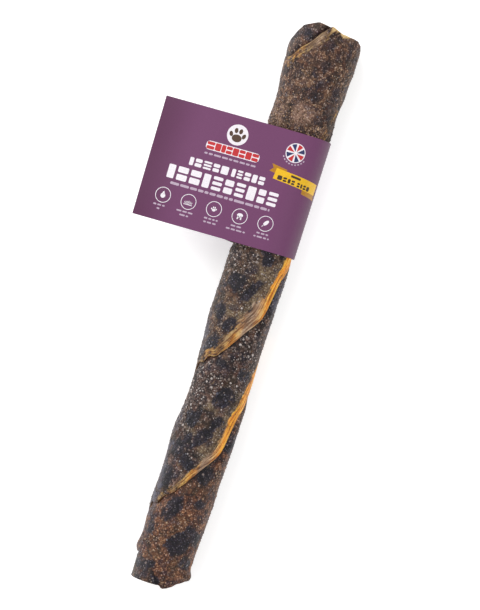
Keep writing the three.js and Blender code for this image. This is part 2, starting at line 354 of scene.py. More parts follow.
def patch_amount(points, patches, softness):
    """How far each point of the upper side lies inside one of the patches, 0 to 1; 0.5 on
    its outline, which strays a little and fades over the softness in millimetres."""
    x, y, z = (points[..., i] / MM for i in range(3))
    warp = 1.7 * noise(points, 6 * MM, 40) + 1.3 * noise(points, 2.4 * MM, 41)
    amount = np.zeros_like(x)
    for cx, cy, half_w, half_l, lean in patches:
        c, s = math.cos(math.radians(lean)), math.sin(math.radians(lean))
        dx, dy = x - cx, y - cy
        across = (dx * c + dy * s) / half_w
        along = (dy * c - dx * s) / half_l
        outside = (np.sqrt(across**2 + along**2) - 1) * min(half_w, half_l) + warp
        amount = np.maximum(amount, smooth(outside, softness, -softness))
    return amount * smooth(z, 14, 24)


def blotch_amount(points):
    """Dark blotches: the known ones on top, and a loose pattern round the back."""
    above = smooth(points[..., 2] / MM, 14, 24)
    elsewhere = layered(points * np.array([1.0, 0.8, 1.0]), 13 * MM, 60, 2)
    hidden = (1 - above) * smooth(elsewhere, 0.2, 0.6)
    return np.maximum(patch_amount(points, BLOTCHES, 1.4), hidden)


def pattern(points):
    """What every skin's material needs to know at each point."""
    return {
        "place": points[..., 1],
        "blotch": blotch_amount(points),
        "pale": patch_amount(points, PALE_PATCHES, 2.5),
        "painted_sheen": patch_amount(points, PAINTED_SHEEN_PATCHES, 1.2),
        "dotted": patch_amount(points, DOTTED_PATCHES, 4),
    }


# How far the skins' edges stray from an even helix, by angle round the stick: they run almost
# straight along the right flank and cross the top at a slant. Degrees, millimetres.
DRIFT = (
    (0, 0.4), (38.5, 0.4), (59.5, 20), (90, 27), (200, 25), (268, 25), (314, 8.5), (342, 2),
    (360, 0.4),
)

# The bare flesh side along those edges, by angle: its width in millimetres, how bright and
# orange it is, from 0 (dull olive) to 1, how clearly it shows, and how dark the shade painted
# in the hollow beside it is.
FLESH = (
    (0, 4.0, 0.6, 0.7, 0.2), (8, 4.2, 0.5, 0.72, 0.2), (15, 5.4, 0.05, 0.75, 0.3),
    (24, 5.8, 0.08, 0.8, 0.7), (32, 5.2, 0.5, 0.85, 1.0), (42, 5.2, 1.0, 1.0, 1.0),
    (55, 7.2, 1.0, 1.0, 0.8), (72, 8.8, 1.0, 1.0, 0.5), (90, 7.6, 0.9, 1.0, 0.4),
    (180, 3, 0.5, 0.6, 0.4), (285, 1.4, 0.2, 0.0, 0.0), (315, 3.6, 0.2, 0.4, 0.0),
    (342, 3.4, 0.2, 0.4, 0.0), (353, 3.8, 0.45, 0.52, 0.1), (360, 4.0, 0.6, 0.7, 0.2),
)

WIDTH, ORANGE, CLEAR, HOLLOW_SHADE = 1, 2, 3, 4  # the table's columns

# How thin and flat the edge is feathered out, by angle.
FEATHER = ((0, 1), (18, 0.9), (32, 0), (230, 0), (280, 1), (360, 1))

# How pale the skin is stained next to the flesh, by angle.
SMEAR = ((0, 0.3), (12, 0.9), (45, 1.0), (60, 0.8), (72, 0.4), (110, 0.0), (330, 0.0), (360, 0.3))


def round_stick(turn, stations, column=1):
    return eased(np.mod(turn, 1) * 360, stations, column)


def beyond_label(y):
    """1 towards the wide end, where the edges are duller and flatter."""
    return smooth(y, 60 * MM, 110 * MM)


def under_label(y):
    """1 where the paper loop lies over the stick."""
    from_edge = LABEL_HEIGHT / 2 - np.abs(y - LABEL_CENTRE_Y)
    return smooth(from_edge, -4 * MM, 0)


def unrolled_gap(turn, y, edge):
    """Signed distance, measured over the skin, from a place to the line y = edge(turn)."""
    nearest = np.full(np.shape(y), np.inf)
    for step in np.arange(-13, 13.1, 0.65) * MM:
        nearest = np.minimum(nearest, np.hypot(step, y - edge(turn + step / GIRTH)))
    return nearest * np.sign(y - edge(turn))


def lip_profile(distance, width):
    """Height of the raised, slightly curled edge of a skin, 1 at its crest."""
    rise = smooth(distance, -0.1 * MM, 0.9 * MM)
    fall = 1 - smooth(distance, width * 0.3, width * 2.0 + 2.0 * MM)
    return rise * fall


def cream_rim(points, ragged):
    """The pale cut rim on the top of the wide end."""
    x, y, z = (points[..., i] for i in range(3))
    near = smooth(from_wide_end(x, y) + ragged, 2.0 * MM, 1.0 * MM)
    return near * smooth(z, 30 * MM, 36 * MM) * smooth(np.abs(x - 7 * MM), 8 * MM, 5 * MM)


class OuterSkin:
    """One of the two long skins that wind round the stick as a helix. reach is how much
    further its first winding hangs down, left_rise how much its lower edge bows up on the
    left of the stick, and front_flesh how much wider its flesh side shows on the front; its
    upper edge lies bare from free_from onwards."""

    def __init__(
        self, seam, across, turns, seed, reach=0.0, left_rise=0.0, front_flesh=0.0, free_from=9.0
    ):
        self.seam = seam
        self.across = across
        self.first_turn, self.last_turn = turns
        self.seed = seed
        self.reach = reach
        self.left_rise = left_rise
        self.front_flesh = front_flesh
        self.free_from = free_from

    def covered_by(self, skin, turns_on):
        self.cover = lambda turn: skin.edge(turn + turns_on)

    def hang(self, turn):
        return self.reach * (1 - smooth(turn, 0.35, 0.8))

    def bow(self, turn):
        within = np.mod(turn, 1)
        return self.left_rise * smooth(within, 0.72, 0.82) * smooth(within, 0.97, 0.84)

    def front(self, turn):
        """1 along the stretch of the lower edge that crosses the front."""
        within = np.mod(turn + 0.5, 1)
        return smooth(within, 0.38, 0.45) * smooth(within, 0.77, 0.69)

    def edge(self, turn):
        """Lower edge."""
        drift = round_stick(turn, DRIFT) * MM
        return self.seam + PITCH * turn + drift + self.bow(turn) - self.hang(turn)

    def width(self, turn):
        droop = 5 * MM * self.free(turn) * smooth(turn, 0.98, 0.88)
        return self.across + self.hang(turn) - droop

    def top_edge(self, turn):
        return self.edge(turn) + self.width(turn)

    def free(self, turn):
        """1 where the upper edge lies bare."""
        return smooth(turn, self.free_from - 0.02, self.free_from + 0.06)

    def tuck(self, turn, y):
        """How far the upper part dips under the skin that covers it."""
        below = unrolled_gap(turn, y, self.cover)
        return LAP_DEPTH * smooth(below, -8 * MM, -1 * MM) * (1 - self.free(turn))

    def lift(self, turn, y):
        """Curl of the exposed edges."""
        flesh_width = np.minimum(5, round_stick(turn, FLESH, WIDTH)) * MM
        height = (0.75 + 0.4 * noise_along(turn * 5, self.seed)) * MM
        height = height * (1 - 0.8 * round_stick(turn, FEATHER))
        inside = unrolled_gap(turn, y, self.edge)
        lift = height * lip_profile(inside, flesh_width) * (1 - 0.6 * beyond_label(y))
        top = self.edge(turn) + self.width(turn) - y
        return lift + self.free(turn) * 0.9 * MM * lip_profile(top * 0.7, 3.4 * MM)

    def feather(self, turn, y):
        """How much the outer side sinks towards a thinned lower edge."""
        inside = unrolled_gap(turn, y, self.edge)
        return 1.15 * MM * round_stick(turn, FEATHER) * smooth(inside, 6 * MM, 0)

    def surfaces(self, turn, w):
        """Outer and inner side of the skin at w above its lower edge."""
        y = self.edge(turn) + w
        tuck = self.tuck(turn, y)
        base = stick_point(y, TURN * turn, tuck)
        thick = SKIN_THICK * (0.35 + 0.65 * smooth(from_torn_end(base[..., 0], y), 0, 6 * MM))
        sunk = np.minimum(self.feather(turn, y), thick - 0.5 * MM) * away_from_floor(base)
        raised = (surface_relief(base) + self.lift(turn, y)) * away_from_floor(base)
        pressed = 0.75 * MM * under_label(y)  # so that the paper lies clear of the skin
        outer = stick_point(y, TURN * turn, tuck - raised + sunk + pressed)
        return outer, stick_point(y, TURN * turn, tuck - raised + thick + pressed)

    def flesh_along_seam(self, turn, points, ragged):
        """Flesh along the lower edge: how far it shows, how orange it is, and how far the
        skin above it is stained pale."""
        y = points[..., 1]
        extra = self.front_flesh * self.front(turn) * smooth(y, 11 * MM, 0)
        inside = unrolled_gap(turn, y, self.edge) + ragged * (1 + 220 * extra)
        bowed = self.bow(turn) / MM  # the flesh shows wider and warmer where the edge bows up
        width = (round_stick(turn, FLESH, WIDTH) + 0.5 * bowed) * MM
        clear = np.minimum(1, round_stick(turn, FLESH, CLEAR) + 0.06 * bowed + 48 * extra)
        shows = smooth(inside, width + 1.4 * extra + 2.0 * MM, width + 0.6 * extra - 1.4 * MM)
        level = smooth(self.hang(turn), 8 * MM, 0)  # 0 where the first winding hangs down
        dull = beyond_label(y)
        shows = shows * clear * level * (1 - 0.75 * dull)
        orange = (round_stick(turn, FLESH, ORANGE) + 0.04 * bowed) * (1 - 0.5 * dull)
        orange = orange * (1 - extra * (34 + 110 * smooth(inside, width - 1 * MM, width + 2 * MM)))
        smear = smooth(inside, width + extra + 8 * MM, width + extra + 3 * MM)
        smear = smear * round_stick(turn, SMEAR) * level * (1 - dull)
        return shows, orange, smear

    def flesh_along_top(self, turn, points, ragged):
        """How far flesh shows along the bare upper edge."""
        from_top = (self.top_edge(turn) - points[..., 1]) * 0.7 + ragged
        from_end = from_wide_end(points[..., 0], points[..., 1])
        shows = smooth(from_top, 6.4 * MM, 3.6 * MM) * self.free(turn)
        return shows * (0.12 + 0.6 * smooth(turn, 0.79, 0.9)) * smooth(from_end, -2 * MM, 7 * MM)

    def flesh_marks(self, turn, points):
        """What the skin's material needs to know about the bare flesh."""
        ragged = 1.1 * MM * noise(points, 3.5 * MM, self.seed + 21)
        ragged = ragged + 0.6 * MM * noise(points, 1.2 * MM, self.seed + 22)
        seam, orange, smear = self.flesh_along_seam(turn, points, ragged)
        top = self.flesh_along_top(turn, points, ragged)
        rim = cream_rim(points, ragged)
        orange = np.where(top > seam, 0.4 - 0.36 * smooth(turn, 0.86, 0.95), orange)
        return {
            "flesh": np.maximum(seam, np.maximum(top, rim)),
            "orange": np.maximum(orange, 0.4 * rim),
            "cream": rim,
            "smear": smear,
        }

    def painted_hollow_shade(self, turn, y):
        """Painted shade in the hollow under the edge of the skin that covers this one."""
        below = unrolled_gap(turn, y, self.cover)
        near = smooth(below, -2.2 * MM, -0.9 * MM)
        return near * (1 - self.free(turn)) * round_stick(turn, FLESH, HOLLOW_SHADE)

    def build(self, name):
        rows = int((self.last_turn - self.first_turn) * 170) + 1
        turn = np.linspace(self.first_turn, self.last_turn, rows)
        near_edge = np.linspace(0, 9, 14)[:-1]
        columns = np.concatenate([near_edge, np.linspace(9, 98, 80), (101, 105, 111)])
        share = columns / columns[-1]
        edge = self.edge(turn)
        width = self.width(turn)
        plan_low, plan_high = plan_positions(turn)
        jitter = 0.6 * MM * noise_along(turn * 40, self.seed + 8)
        low = (NARROW_END + cut_distance(plan_low, TORN_CUT) + jitter - edge) / width
        high = (WIDE_END - cut_distance(plan_high, WIDE_CUT) + 0.4 * jitter - edge) / width
        grid, first, last = clipped_grid(share, low, high)
        grid_w = np.clip(grid, 0, 1) * width[:, None]
        grid_turn = np.tile(turn[:, None], (1, len(share)))
        outer, inner = self.surfaces(grid_turn, grid_w)
        faces = trimmed_faces(grid_w.shape, first, last)
        y = outer[..., 1]
        inside = unrolled_gap(grid_turn, y, self.edge)
        marks = pattern(outer) | self.flesh_marks(grid_turn, outer)
        attributes = marks | {
            "pale": np.maximum(marks["pale"], marks.pop("smear")),
            "painted_hollow_shade": self.painted_hollow_shade(grid_turn, y),
            "seam_gap": np.minimum(inside, (self.top_edge(grid_turn) - y) * 0.7),
            "seam_run": grid_turn * GIRTH,
        }
        return thick_object(name, outer, inner, faces, attributes, {"flesh": 1.0})


SKIN_A = OuterSkin(
    SEAM_A, SKIN_WIDTH, (-0.5, SKIN_A_END_TURN), seed=11,
    reach=34 * MM, left_rise=4.2 * MM, front_flesh=4.6 * MM,
)
SKIN_B = OuterSkin(
    SEAM_B, SKIN_WIDTH + 10.6 * MM, (-1.0, 1.625), seed=47, free_from=SKIN_A_END_TURN - 1
)
SKIN_A.covered_by(SKIN_B, 0)
SKIN_B.covered_by(SKIN_A, 1)

# Depth of the under wrap by distance up from the torn end of the outer skins: it lies deep
# under them and swells where they leave it bare. Millimetres.
UNDER_DEPTH = ((-3, 0.5), (0, 1.2), (6, 2.6), (10, 4.5))


def under_wrap_depth(turn, y):
    x = stick_point(y, TURN * turn, 0.0)[..., 0]
    depth = eased(from_torn_end(x, y) / MM, UNDER_DEPTH, 1) * MM
    past = unrolled_gap(turn, y, SKIN_B.top_edge)
    bare = smooth(past, -1.5 * MM, 3.5 * MM) * SKIN_B.free(turn)
    return depth + (0.5 * MM - depth) * bare


def build_under_wrap(name):
    rows, columns = 180, 260
    spread = np.linspace(-0.015, 1.0, rows)
    turn = 0.62 + spread
    lap = (SKIN_THICK + 0.1 * MM) * smooth(spread, 0.06, 0.0)  # its two long edges overlap
    y = np.linspace(NARROW_END - 4 * MM, WIDE_END + 4 * MM, columns)
    plan_low, plan_high = plan_positions(turn)
    low = NARROW_END + cut_distance(plan_low, SQUARE_CUT)
    high = WIDE_END - cut_distance(plan_high, WIDE_CUT) - 0.6 * MM
    grid_y, first, last = clipped_grid(y, low, high)
    grid_turn = np.tile(turn[:, None], (1, columns))
    depth = under_wrap_depth(grid_turn, grid_y) + lap[:, None]
    base = stick_point(grid_y, TURN * grid_turn, depth)
    depth = depth - surface_relief(base) * away_from_floor(base)
    outer = stick_point(grid_y, TURN * grid_turn, depth)
    inner = stick_point(grid_y, TURN * grid_turn, depth + SKIN_THICK)
    faces = trimmed_faces(grid_y.shape, first, last)
    attributes = pattern(outer) | {
        "flesh": np.zeros(grid_y.shape),
        "orange": np.full(grid_y.shape, 0.4),
    }
    return thick_object(name, outer, inner, faces, attributes, {"flesh": 1.0})


def build_rolled_skin(name, outside, turns, start_turn, ends, seed):
    """A skin rolled into a spiral of so many turns, which widens a little towards its ends.
    Its outside radius, pitch and thickness are fractions of the stick's own radius."""
    pitch, thickness = 0.105, 0.082
    rows = int(turns * 110)
    turn = np.linspace(0, turns, rows)
    fraction = outside - pitch * (turns - turn)
    span = np.linspace(0, 1, 70)
    span = (1 - np.cos(np.pi * span)) / 2  # closer together near the two ends
    ragged = 1.6 * MM * noise_along(turn * 9, seed)
    low = ends[0] + ragged
    high = ends[1] + ragged[::-1]
    grid_y = low[:, None] + (high - low)[:, None] * span[None, :]
    grid_angle = np.tile((TURN * (start_turn + turn))[:, None], (1, len(span)))
    left, right = half_widths(grid_y)
    side = np.sin(grid_angle)
    half_width = np.where(side < 0, left, right)

    def at(share):
        x = share * half_width * side
        z = AXIS_Z + share * HALF_HEIGHT * np.cos(grid_angle)
        return np.stack([x, grid_y, z], -1)

    widened = 22 * MM  # length of the widened part at either end
    flare = 0.24 * smooth(grid_y, ends[0] + widened, ends[0])
    flare = flare + 0.1 * smooth(grid_y, ends[1] - widened, ends[1])
    share = fraction[:, None] * (1 + flare)
    base = at(share)
    bumps = 0.010 * layered(base, 7 * MM, seed, 2)
    outer = at(share + bumps)
    inner = at(share + bumps - thickness)
    faces = grid_faces(rows, len(span))
    return thick_object(name, outer, inner, faces, {"flesh": np.full(grid_y.shape, 0.85)})


# --------------------------------------------------------------------------- granules

def granule_sites(skin, spacing, rng):
    """Jittered places (turn, w) for granules on the bare part of a skin."""
    turns = np.arange(skin.first_turn, skin.last_turn, spacing / GIRTH)
    heights = np.arange(1 * MM, SKIN_WIDTH, spacing)
    turn, w = np.meshgrid(turns, heights)
    turn = turn + rng.uniform(-0.42, 0.42, turn.shape) * spacing / GIRTH
    w = w + rng.uniform(-0.42, 0.42, w.shape) * spacing
    turn, w = turn.ravel(), w.ravel()
    y = skin.edge(turn) + w
    centre = skin.surfaces(turn, w)[0]
    from_ends = np.minimum(from_torn_end(centre[:, 0], y), from_wide_end(centre[:, 0], y))
    past_flesh = round_stick(turn, FLESH, WIDTH) * MM + 1.2 * MM
    keep = (from_ends > 1.5 * MM) & (centre[:, 2] > 2.5 * MM)
    keep &= unrolled_gap(turn, y, skin.edge) > past_flesh
    keep &= (unrolled_gap(turn, y, skin.cover) < -2.2 * MM) | (skin.free(turn) > 0.5)
    keep &= (SKIN_WIDTH - w > 5.5 * MM) | (skin.free(turn) < 0.5)
    crowd = 0.3 + 0.35 * layered(centre, 14 * MM, skin.seed + 70, 2)
    crowd = crowd + patch_amount(centre, DOTTED_PATCHES, 4)
    keep &= rng.uniform(0, 1, len(w)) < 0.08 + 0.6 * crowd
    bare = blotch_amount(centre) > 0.6
    keep &= ~(bare & (rng.uniform(0, 1, len(w)) < 0.7))
    return turn[keep], w[keep]


def surface_frame(skin, turn, w):
    """Place on a skin's outer side, two unit directions along it, and its normal."""
    step = 0.6 * MM
    around = step / GIRTH

    def at(turn, w):
        return skin.surfaces(turn, w)[0]

    up = at(turn, w + step) - at(turn, w - step)
    y = skin.edge(turn) + w
    right = at(turn + around, y - skin.edge(turn + around))
    right = right - at(turn - around, y - skin.edge(turn - around))
    up /= np.linalg.norm(up, axis=1, keepdims=True)
    normal = np.cross(up, right)
    normal /= np.linalg.norm(normal, axis=1, keepdims=True)
    return at(turn, w), up, np.cross(normal, up), normal


def build_granules(name, skin, spacing, seed):
    """Small round scales that stand on the bare part of an outer skin, each a low dome of
    two rings of points and a crown."""
    rng = np.random.default_rng(seed)
    turn, w = granule_sites(skin, spacing, rng)
    centre, up, right, normal = surface_frame(skin, turn, w)
    count = len(turn)
    crowded = patch_amount(centre, DOTTED_PATCHES, 4)
    size = (0.34 + (0.45 + 0.25 * crowded) * rng.uniform(0, 1, count) ** 1.9) * MM
    height = size * rng.uniform(0.3, 0.5, count)
    sides = 7
    sunk = 0.25 * MM  # how deep a scale's foot sits in the skin
    theta = np.arange(sides) * TURN / sides
    ring = np.cos(theta)[None, :, None] * up[:, None] + np.sin(theta)[None, :, None] * right[:, None]
    rim = centre[:, None] + ring * size[:, None, None] - normal[:, None] * sunk
    shoulder = centre[:, None] + ring * (0.62 * size)[:, None, None]
    shoulder = shoulder + normal[:, None] * (0.72 * height)[:, None, None]
    crown = centre + normal * height[:, None]
    points = np.concatenate([rim, shoulder, crown[:, None]], axis=1).reshape(-1, 3)
    per = 2 * sides + 1
    dome = [list(range(sides))[::-1]]
    for i in range(sides):
        j = (i + 1) % sides
        dome.append([i, j, sides + j, sides + i])
        dome.append([sides + i, sides + j, 2 * sides])
    faces = [[v + k * per for v in face] for k in range(count) for face in dome]
    tan = smooth(centre[:, 1], -60 * MM, -100 * MM) if skin is SKIN_A else beyond_label(centre[:, 1])
    attributes = {
        "tint": np.repeat(rng.uniform(0, 1, count), per),
        "blotch": np.repeat(blotch_amount(centre), per),
        "tan": np.repeat(tan, per),
    }
    return mesh_object(name, points, faces, attributes)


# ---------------------------------------------------------------------------- the label

PAPER = 0.35 * MM  # thickness
LABEL_HEIGHT = 81.4 * MM  # along the stick
LABEL_CENTRE_X = -33.2 * MM
LABEL_CENTRE_Y = BEND[1]
LABEL_RISE = 0.03  # slope of its long edges, towards +Y on the right
LABEL_LEAN = 0.024  # slope of its free edge
LABEL_LEFT = -89.6 * MM
LOOP_X, LOOP_Z = 0.9 * MM, 20.6 * MM  # middle of the loop round the stick
LOOP_HALF_W, LOOP_HALF_H = 22.1 * MM, 21.9 * MM
LOOP_FLOOR = -0.3 * MM  # inside of the paper where it lies between stick and table
FRONT_Z = LOOP_Z + LOOP_HALF_H + PAPER / 2
BACK_Z = FRONT_Z - 0.6 * MM


def loop_path():
    """Middle of the paper as (x, z), from the flag's free edge over the stick and back."""
    half_w, half_h = LOOP_HALF_W + PAPER / 2, LOOP_HALF_H + PAPER / 2
    front = [(x, FRONT_Z) for x in np.arange(LABEL_LEFT, LOOP_X, 1.0 * MM)]
    arc = []
    for degrees in np.arange(90, -169, -2.5):
        a = math.radians(degrees)
        z = LOOP_Z + half_h * math.sin(a)
        arc.append((LOOP_X + half_w * math.cos(a), max(z, LOOP_FLOOR - PAPER / 2)))
    x0, z0 = arc[-1]
    x1, z1 = BEND[0] + 0.6 * MM, BACK_Z - 2.2 * MM
    steps = np.linspace(0, 1, 24)[1:]
    rise = [(x0 + (x1 - x0) * t, z0 + (z1 - z0) * t) for t in steps]
    x2 = BEND[0] - 1.6 * MM
    fillet = []
    for t in np.linspace(0, 1, 8)[1:]:  # quadratic turn from the rise into the back leaf
        corner = (BEND[0] + 0.35 * MM, BACK_Z)
        x = (1 - t) ** 2 * x1 + 2 * t * (1 - t) * corner[0] + t * t * x2
        z = (1 - t) ** 2 * z1 + 2 * t * (1 - t) * corner[1] + t * t * BACK_Z
        fillet.append((x, z))
    back = [(x, BACK_Z) for x in np.arange(x2 - 1.0 * MM, LABEL_LEFT, -1.0 * MM)]
    back.append((LABEL_LEFT, BACK_Z))
    return np.array(front + arc + rise + fillet + back)


PATH = loop_path()
PATH_LENGTH = np.concatenate([[0], np.cumsum(np.linalg.norm(np.diff(PATH, axis=0), axis=1))])


def path_point(length):
    return [np.interp(length, PATH_LENGTH, PATH[:, axis]) for axis in (0, 1)]


def flag_curl(x, across):
    """Sag of the flag towards its free edge; across runs -1..1 along the stick."""
    reach = np.clip((BEND[0] - x) / (BEND[0] - LABEL_LEFT), 0, 1)
    sag = (2.6 + 0.8 * across) * MM * reach**2
    wave = 0.25 * MM * reach * np.sin(3.1 * across + 5 * reach)
    return wave - sag


def paper_point(length, across, lift):
    """Point on the label. length runs along the paper from the free edge, across is -1..1
    along the stick, and lift is the height over the middle of the paper."""
    x, z = path_point(length)
    ahead, behind = path_point(length + 0.4 * MM), path_point(length - 0.4 * MM)
    dx, dz = ahead[0] - behind[0], ahead[1] - behind[1]
    size = np.hypot(dx, dz)
    nx, nz = -dz / size, dx / size
    lean = LABEL_LEAN * across * LABEL_HEIGHT / 2 * smooth(x, BEND[0], LABEL_LEFT)
    x = x + nx * lift - lean
    z = z + nz * lift + flag_curl(x, across)
    y = LABEL_CENTRE_Y + across * LABEL_HEIGHT / 2 + LABEL_RISE * (x - LABEL_CENTRE_X)
    return np.stack([x, y, z], -1)


def build_paper(name):
    length = PATH_LENGTH
    across = np.linspace(1, -1, 56)
    grid_length, grid_across = np.meshgrid(length, across, indexing="ij")
    outer = paper_point(grid_length, grid_across, PAPER / 2)
    inner = paper_point(grid_length, grid_across, -PAPER / 2)
    faces = [face[::-1] for face in grid_faces(len(length), len(across))]
    attributes = {"bare": np.zeros(grid_length.shape), "along": grid_length}
    return thick_object(name, outer, inner, faces, attributes, {"bare": 1.0})


def build_adhesive(name):
    inset = 1.5 * MM
    x = np.linspace(LABEL_LEFT + inset, BEND[0] - 2.5 * MM, 50)
    across = np.linspace(1, -1, 30) * (1 - 2 * inset / LABEL_HEIGHT)
    grid_x, grid_across = np.meshgrid(x, across, indexing="ij")
    length = grid_x - LABEL_LEFT
    outer = paper_point(length, grid_across, -0.2 * MM)
    inner = paper_point(length, grid_across, -0.4 * MM)
    faces = [face[::-1] for face in grid_faces(len(x), len(across))]
    return thick_object(name, outer, inner, faces)


# ------------------------------------------------------------------- printed decoration

INK = 0.03 * MM  # thickness of one layer of print


class Print:
    """Printed shapes of one ink, drawn in label millimetres: u from the free edge, v from
    the wide-end edge down."""

    def __init__(self, name, layer):
        self.name = name
        self.layer = layer
        self.outer, self.inner, self.faces = [], [], []

    def polygon(self, outline, holes=()):
        bm = bmesh.new()
        loops = []
        for ring in (outline, *holes):
            verts = [bm.verts.new((u, v, 0)) for u, v in ring]
            loops += [bm.edges.new((a, b)) for a, b in zip(verts, verts[1:] + verts[:1])]
        bmesh.ops.triangle_fill(bm, use_beauty=True, use_dissolve=False, edges=loops)
        longest = 2.2  # short enough to follow the paper where it bends
        for _ in range(6):
            long_edges = [e for e in bm.edges if e.calc_length() > longest]
            if not long_edges:
                break
            bmesh.ops.subdivide_edges(bm, edges=long_edges, cuts=1)
            bmesh.ops.triangulate(bm, faces=[f for f in bm.faces if len(f.verts) > 3])
        bm.verts.index_update()
        flat = np.array([v.co[:2] for v in bm.verts])
        start = sum(len(p) for p in self.outer)
        length = flat[:, 0] * MM
        across = 1 - 2 * flat[:, 1] * MM / LABEL_HEIGHT
        lift = PAPER / 2 + INK * (self.layer + 1)
        self.outer.append(paper_point(length, across, lift))
        self.inner.append(paper_point(length, across, PAPER / 2 - INK))
        for face in bm.faces:
            corners = [v.index for v in face.verts]
            a, b, c = (flat[i] for i in corners)
            turn = (b[0] - a[0]) * (c[1] - a[1]) - (b[1] - a[1]) * (c[0] - a[0])
            if turn > 0:
                corners.reverse()
            self.faces.append([i + start for i in corners])
        bm.free()

    def block(self, u, v, width, height, corner=0.5, lean=0.0):
        """A round-cornered bar centred on (u, v), leaning by an angle in degrees."""
        corner = min(corner, width / 2 - 0.01, height / 2 - 0.01)
        c, s = math.cos(math.radians(lean)), math.sin(math.radians(lean))
        outline = []
        for quarter in range(4):
            cx = (width / 2 - corner) * (1, -1, -1, 1)[quarter]
            cy = (height / 2 - corner) * (1, 1, -1, -1)[quarter]
            for step in range(4):
                a = math.pi / 2 * (quarter + step / 3)
                x, y = cx + corner * math.cos(a), cy + corner * math.sin(a)
                outline.append((u + x * c - y * s, v + x * s + y * c))
        self.polygon(outline)

    def disc(self, u, v, radius_u, radius_v=None, count=28, lean=0.0):
        radius_v = radius_u if radius_v is None else radius_v
        self.polygon(oval(u, v, radius_u, radius_v, count, lean))

    def ring(self, u, v, radius, stroke, count=40):
        inner = radius - stroke
        self.polygon(oval(u, v, radius, radius, count), [oval(u, v, inner, inner, count)])

    def words(self, u, v, width, height, seed, longest=6):
        """A line of small bars standing for a line of print."""
        rng = np.random.default_rng(seed)
        left = u - width / 2
        end = u + width / 2
        while left < end - 1.0:
            size = min(rng.uniform(0.35, 1.0) * longest, end - left)
            self.block(left + size / 2, v, size, height, height / 2.5)
            left += size + 0.75

    def build(self):
        outer, inner = np.concatenate(self.outer), np.concatenate(self.inner)
        return thick_object(self.name, outer, inner, self.faces)


def oval(u, v, radius_u, radius_v, count, lean=0.0):
    c, s = math.cos(math.radians(lean)), math.sin(math.radians(lean))
    points = []
    for i in range(count):
        a = TURN * i / count
        x, y = radius_u * math.cos(a), radius_v * math.sin(a)
        points.append((u + x * c - y * s, v + x * s + y * c))
    return points


def draw_mark(ink, bars, u, v, width, height):
    """One to three bars on one another, which stand where a letter would."""
    slot = 0.14 * height
    tall = (height - slot * (bars - 1)) / bars
    for i in range(bars):
        ink.block(u, v - height / 2 + tall / 2 + i * (tall + slot), width, tall, 0.7)


def row_of_marks(ink, left, right, v, height, marks, gap, rise=0.0):
    """A display line: marks, given as (bars, relative width), that fill left..right."""
    scale = (right - left - gap * (len(marks) - 1)) / sum(width for _, width in marks)
    u = left
    for bars, width in marks:
        size = width * scale
        draw_mark(ink, bars, u + size / 2, v + rise * (u + size / 2 - left), size, height)
        u += size + gap


def draw_paw(ink, u, v, size):
    """A paw mark: one pad and four toes."""
    ink.disc(u, v + 0.30 * size, 0.42 * size, 0.33 * size)
    for du, dv, lean in ((-0.55, 0.02, -20), (-0.2, -0.34, -8), (0.2, -0.34, 8), (0.55, 0.02, 20)):
        ink.disc(u + du * size, v + dv * size, 0.155 * size, 0.23 * size, 20, lean)


def draw_drop(ink, u, v, size):
    ink.polygon(oval(u, v + 0.2 * size, 0.6 * size, 0.6 * size, 24))
    foot = v - 0.05 * size
    ink.polygon([(u - 0.5 * size, foot), (u, v - 1.0 * size), (u + 0.5 * size, foot)])


def draw_coat(ink, u, v, size):
    for i in range(-3, 4):
        tall = (1.0 - 0.18 * abs(i)) * size
        ink.block(u + i * 0.3 * size, v + 0.25 * size, 0.12 * size, tall, 0.1, 14)
    ink.block(u, v + 0.75 * size, 2.2 * size, 0.16 * size, 0.1)


def draw_tooth(ink, u, v, size):
    ink.disc(u, v - 0.25 * size, 0.75 * size, 0.5 * size)
    ink.block(u - 0.38 * size, v + 0.4 * size, 0.34 * size, 0.9 * size, 0.3, 8)
    ink.block(u + 0.38 * size, v + 0.4 * size, 0.34 * size, 0.9 * size, 0.3, -8)


def draw_leaf(ink, u, v, size):
    ink.disc(u + 0.1 * size, v - 0.15 * size, 0.85 * size, 0.42 * size, 26, -52)
    ink.block(u - 0.5 * size, v + 0.65 * size, 0.16 * size, 0.7 * size, 0.1, 35)


def around(u, v, radius, angle):
    return u + radius * math.cos(angle), v + radius * math.sin(angle)


def draw_emblem(white, brown):
    """A paw on a white disc."""
    u, v = 52.0, 12.6
    white.disc(u, v, 7.0, count=48)
    draw_paw(brown, u, v, 7.8)


def draw_display_lines(white, lilac, red):
    """Three lines of large marks, the first on a white bar, and two lines of small print."""
    white.block(52.2, 24.0, 36.2, 6.0, 2.2)
    marks = ((2, 1.3), (1, 1.0), (1, 0.7), (2, 1.0), (1, 1.0), (2, 1.0), (1, 1.0), (2, 1.1))
    row_of_marks(red, 34.7, 69.7, 24.0, 5.0, marks, 0.4)
    lilac.words(52.0, 29.6, 35.0, 1.25, 3, 5.5)
    marks = ((1, 0.6), (2, 1.0), (3, 1.2), (2, 0.95), (1, 1.1))
    row_of_marks(white, 26.8, 53.4, 37.5, 5.4, marks, 1.2)
    marks = ((1, 0.6), (3, 0.9), (2, 1.0), (1, 0.8), (2, 0.95))
    row_of_marks(white, 55.7, 78.2, 37.5, 5.4, marks, 1.2)
    marks = (
        (1, 0.8), (2, 1.2), (2, 1.2), (1, 0.8), (3, 1.1),
        (2, 1.0), (3, 1.05), (1, 0.95), (2, 0.85), (3, 1.1),
    )
    row_of_marks(white, 14.8, 89.9, 47.4, 9.2, marks, 1.8)
    lilac.words(52.8, 54.9, 68.5, 1.7, 5, 7)


